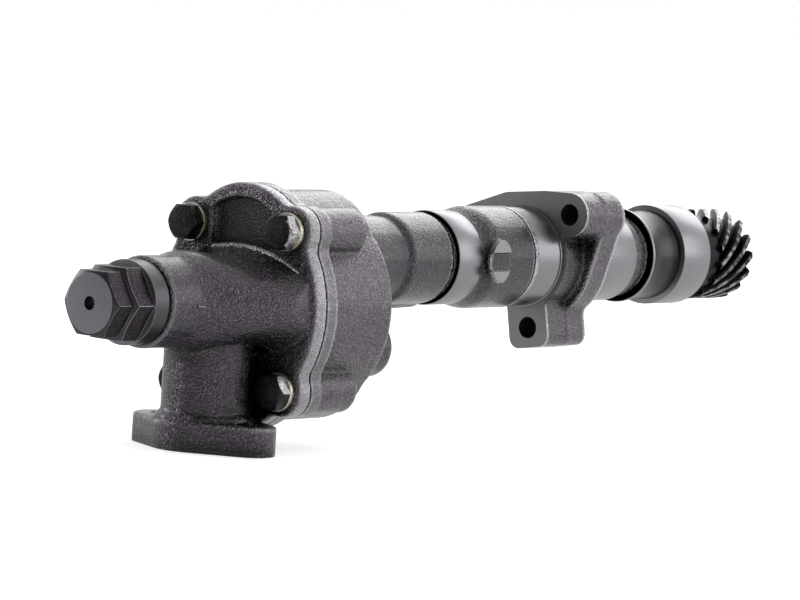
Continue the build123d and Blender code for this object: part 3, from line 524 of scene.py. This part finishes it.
bolts.data.materials.append(facet_highlight.material)
# Painted highlight: on the two bolts on the -Y side, the facets that face -Y take the bright finish.
for face in bolts.data.polygons:
    if face.center.y >= 0:
        continue
    if face.center.z > 0:
        highlit_facet = face.normal.y < -0.45
    else:
        highlit_facet = face.normal.y < -0.80 and face.normal.z > 0.1
    if highlit_facet:
        face.material_index = 2

# Spring washers: one under each bolt head, of spring steel with a patchy yellow zinc plating.  They
# keep the bolts from working loose.
zinc = Finish("yellow_zinc", Metallic=1.0)
patch = zinc.place.noise(0.0022, 3.0, 0.6)
zinc.wire(Base_Color=patch.step(0.35, 0.7).tint((0.66, 0.62, 0.42), (0.97, 0.95, 0.84)),
          Roughness=0.25 + 0.2 * patch, Normal=patch.bump(0.0001, 0.5))
softened("spring_washer_set", "spring_washers", zinc.material, "pump_body",
         relief=0.00025)

# Relief valve: hexagon body and cap of phosphated steel, screwed into the barrel.  Their end faces
# and collars are turned, the flats keep the dark phosphate, and the broken edges are painted pale,
# partly rubbed wear and partly painted highlight.
barrel_z = -0.015
plug = ground_iron("plug_steel", (0.43, 0.435, 0.47), roughness=0.36, streak=0.06)
collar = ground_iron("collar_steel", (0.115, 0.107, 0.118), roughness=0.28, streak=0.06)
# Pale finish for broken edges: partly rubbed wear, partly painted highlight.
edge_wear_and_highlight_steel = ground_iron("rubbed_and_highlit_edge", (0.90, 0.88, 0.91), roughness=0.25)
flats = Finish("phosphated_flats", Metallic=1.0)
mottle = flats.place.noise(0.0005, 2.0, 0.6)
flats.wire(Base_Color=mottle.step(0.40, 0.72).tint((0.024, 0.019, 0.024), (0.100, 0.089, 0.100)),
           Roughness=0.22 + 0.15 * mottle, Normal=mottle.bump(0.0002, 0.7))
x_cap_face, centre_hole_reach, hole_widening = -0.280, 0.0024, 0.37
for name, source in (("relief_body_hexagon", "relief_valve_body"),
                     ("relief_cap_hexagon", "relief_valve_cap")):
    hexagon = softened(name, source, plug, "pump_body", relief=0.00042, edge_wear_and_highlight=edge_wear_and_highlight_steel)
    hexagon.data.materials.append(flats.material)
    hexagon.data.materials.append(collar)
    for vert in hexagon.data.vertices:
        off_axis = Vector((0, vert.co.y, vert.co.z - barrel_z))
        if vert.co.x < x_cap_face and off_axis.length < centre_hole_reach:
            vert.co += hole_widening * off_axis
    for face in hexagon.data.polygons:
        if face.material_index == 0 and abs(face.normal.x) < 0.97:
            face.material_index = 2 if len(face.vertices) > 4 and abs(face.normal.x) < 0.3 else 3

# Helical gear: hobbed with left-hand teeth and blackened.  The tips of its teeth are worn in
# patches, and their broken corners are painted pale, partly rubbed wear and partly painted highlight.
gear = Finish("blackened_gear", Metallic=1.0)
scuff = gear.place.noise(0.0032, 3.0, 0.6)
tooth_tip_start, tooth_tip_full = 0.0187, 0.0193
tip_share = gear.place.off_shaft().step(tooth_tip_start, tooth_tip_full)
gear.wire(Base_Color=(tip_share * scuff.step(0.42, 0.66)).tint((0.016, 0.015, 0.018), (0.34, 0.33, 0.35)),
          Roughness=0.22 + 0.20 * scuff, Normal=scuff.bump(0.00010, 0.6))
softened("helical_gear_teeth", "helical_drive_gear", gear.material, "drive_line",
         relief=0.00034, crease=30.0, edge_wear_and_highlight=edge_wear_and_highlight_steel)

# Relief spring: seven turns of round wire between the shim and the piston's crown.
steel = ground_iron("inner_steel", (0.42, 0.42, 0.43), roughness=0.28)
spring_start, spring_end = (corner[0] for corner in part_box("relief_spring"))
spring_len = spring_end - spring_start
wire_d, coil_r, turns, steps_per_turn = 0.0014, 0.0050, 7, 36
end_gap, stroke = 0.00002, 0.007
steps = steps_per_turn * turns
coil = bmesh.new()
bmesh.ops.create_circle(coil, cap_ends=False, segments=14, radius=wire_d / 2)
bmesh.ops.rotate(coil, verts=coil.verts, matrix=Matrix.Rotation(radians(90), 3, "X"))
bmesh.ops.translate(coil, verts=coil.verts,
                    vec=(spring_start + wire_d / 2 + end_gap, 0, barrel_z + coil_r))
bmesh.ops.spin(coil, geom=[*coil.verts, *coil.edges], cent=(0, 0, barrel_z), axis=(1, 0, 0),
               dvec=((spring_len - wire_d - 2 * end_gap) / steps, 0, 0),
               angle=2 * pi * turns, steps=steps)
bmesh.ops.holes_fill(coil, edges=[e for e in coil.edges if e.is_boundary])
bmesh.ops.recalc_face_normals(coil, faces=coil.faces)
relief_coil = piece("relief_coil_spring", coil, steel)
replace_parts(relief_coil, "relief_spring")
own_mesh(relief_coil)

# Inner pieces: shaft, pump gears, pins, dowels and piston of ground steel, bushes and thrust washer
# of bronze, and two seals of black fibre.  They keep their CAD shapes.
bronze = ground_iron("bearing_bronze", (0.42, 0.25, 0.10), roughness=0.30)
fibre = Finish("black_fibre", Roughness=0.75)
weave = fibre.place.noise(0.0008, 2.0)
fibre.wire(Base_Color=weave.tint((0.006, 0.006, 0.006), (0.02, 0.02, 0.02)), Normal=weave.bump(0.0001, 0.6))
inner_pieces = {
    steel: ("drive_shaft", "driving_gear", "driving_gear_key", "driven_gear", "idler_pin",
            "helical_gear_pin", "cover_dowels", "relief_piston", "relief_spring_shim"),
    bronze: ("driven_gear_bush", "lower_shaft_bush", "upper_shaft_bush", "thrust_washer"),
    fibre.material: ("relief_body_seal", "relief_cap_seal"),
}
for material, names in inner_pieces.items():
    for name in names:
        nodes[name].data.materials.clear()
        nodes[name].data.materials.append(material)


# Lamps: three soft boxes.  The largest hangs over the gear's end, a small one stands on the -Y side,
# and a tall one on the +Y side lights the cover from behind.
def soft_box(name, at, target, size, power):
    data = bpy.data.lights.new(name, "AREA")
    data.shape = "RECTANGLE"
    data.size, data.size_y = size
    data.energy = power
    lamp = bpy.data.objects.new(name, data)
    aim = (Vector(target) - Vector(at)).to_track_quat("-Z", "Y")
    lamp.matrix_world = Matrix.Translation(at) @ aim.to_matrix().to_4x4()
    bpy.context.scene.collection.objects.link(lamp)


soft_box("top_box", at=(1.10, 0.35, 0.72), target=(-0.1, 0, 0), size=(1.1, 0.7), power=5.5)
soft_box("right_box", at=(0.75, -0.95, 0.35), target=(-0.1, 0, 0), size=(0.7, 0.7), power=2.0)
soft_box("left_box", at=(-0.40, 1.30, 0.30), target=(-0.15, 0, 0), size=(0.4, 0.9), power=6.0)

# Surround: white paper to the right and behind the pump, falling off to grey on the near left, which
# shapes what the metal mirrors.
world = bpy.data.worlds.new("surround")
bpy.context.scene.world = world
world.use_nodes = True
tree = world.node_tree
tree.nodes.clear()
seen = Wire(add_node(tree, "ShaderNodeLightPath").outputs["Is Camera Ray"])
heading = Wire(add_node(tree, "ShaderNodeTexCoord").outputs["Generated"])
brightest, darkest_level = (0.93, -0.30, 0.20), 0.22
towards = heading.node("ShaderNodeVectorMath", {"operation": "DOT_PRODUCT"}, {0: heading, 1: brightest}, 1)
level = darkest_level + (1 - darkest_level) * towards.step(-0.5, 0.85)
surround = level.node("ShaderNodeBackground", None, {
    "Color": (1.0, 1.0, 1.0, 1.0), "Strength": seen.math("MAXIMUM", level)})
add_node(tree, "ShaderNodeOutputWorld", None, {"Surface": surround})

# Floor: a sheet of white paper just under the suction flange.  It keeps the pump's shadow for the
# camera; to glossy rays it is an emission, white on the right and greyer on the near left, a painted
# shadow of the pump that the metal mirrors.
floor_z, floor_half = -0.0716, 12.0
sheet = bmesh.new()
bmesh.ops.create_grid(sheet, x_segments=1, y_segments=1, size=floor_half)
bmesh.ops.translate(sheet, verts=sheet.verts, vec=(0, 0, floor_z))
floor_mesh = bpy.data.meshes.new("floor")
sheet.to_mesh(floor_mesh)
sheet.free()
floor = bpy.data.objects.new("floor", floor_mesh)
bpy.context.scene.collection.objects.link(floor)
paper = bpy.data.materials.new("floor_paper")
paper.use_nodes = True
tree = paper.node_tree
tree.nodes.clear()
rays = add_node(tree, "ShaderNodeLightPath").outputs
seen, gloss = Wire(rays["Is Camera Ray"]), Wire(rays["Is Glossy Ray"])
across, depth, _ = Wire(add_node(tree, "ShaderNodeTexCoord").outputs["Object"]).parts()
paper_white, paper_glow, near_left_shadow_level = (0.85, 0.85, 0.85, 1.0), 0.66, 0.46
# Painted shadow in reflections: the emission that glossy rays see is greyer towards the near left, under
# the pump.
rightward = 0.79 * across - 0.61 * depth
reflected_painted_shadow = near_left_shadow_level + (1 - near_left_shadow_level) * rightward.step(-0.45, 0.15)
white = seen.node("ShaderNodeBsdfDiffuse", None, {"Color": paper_white})
glow = seen.node("ShaderNodeEmission", None, {"Strength": paper_glow * seen})
reflection = seen.node("ShaderNodeEmission", None, {"Strength": reflected_painted_shadow})
direct = seen.node("ShaderNodeAddShader", None, {0: white, 1: glow})
sheen = seen.node("ShaderNodeMixShader", None, {0: gloss, 1: direct, 2: reflection})
add_node(tree, "ShaderNodeOutputMaterial", None, {"Surface": sheen})
floor_mesh.materials.append(paper)
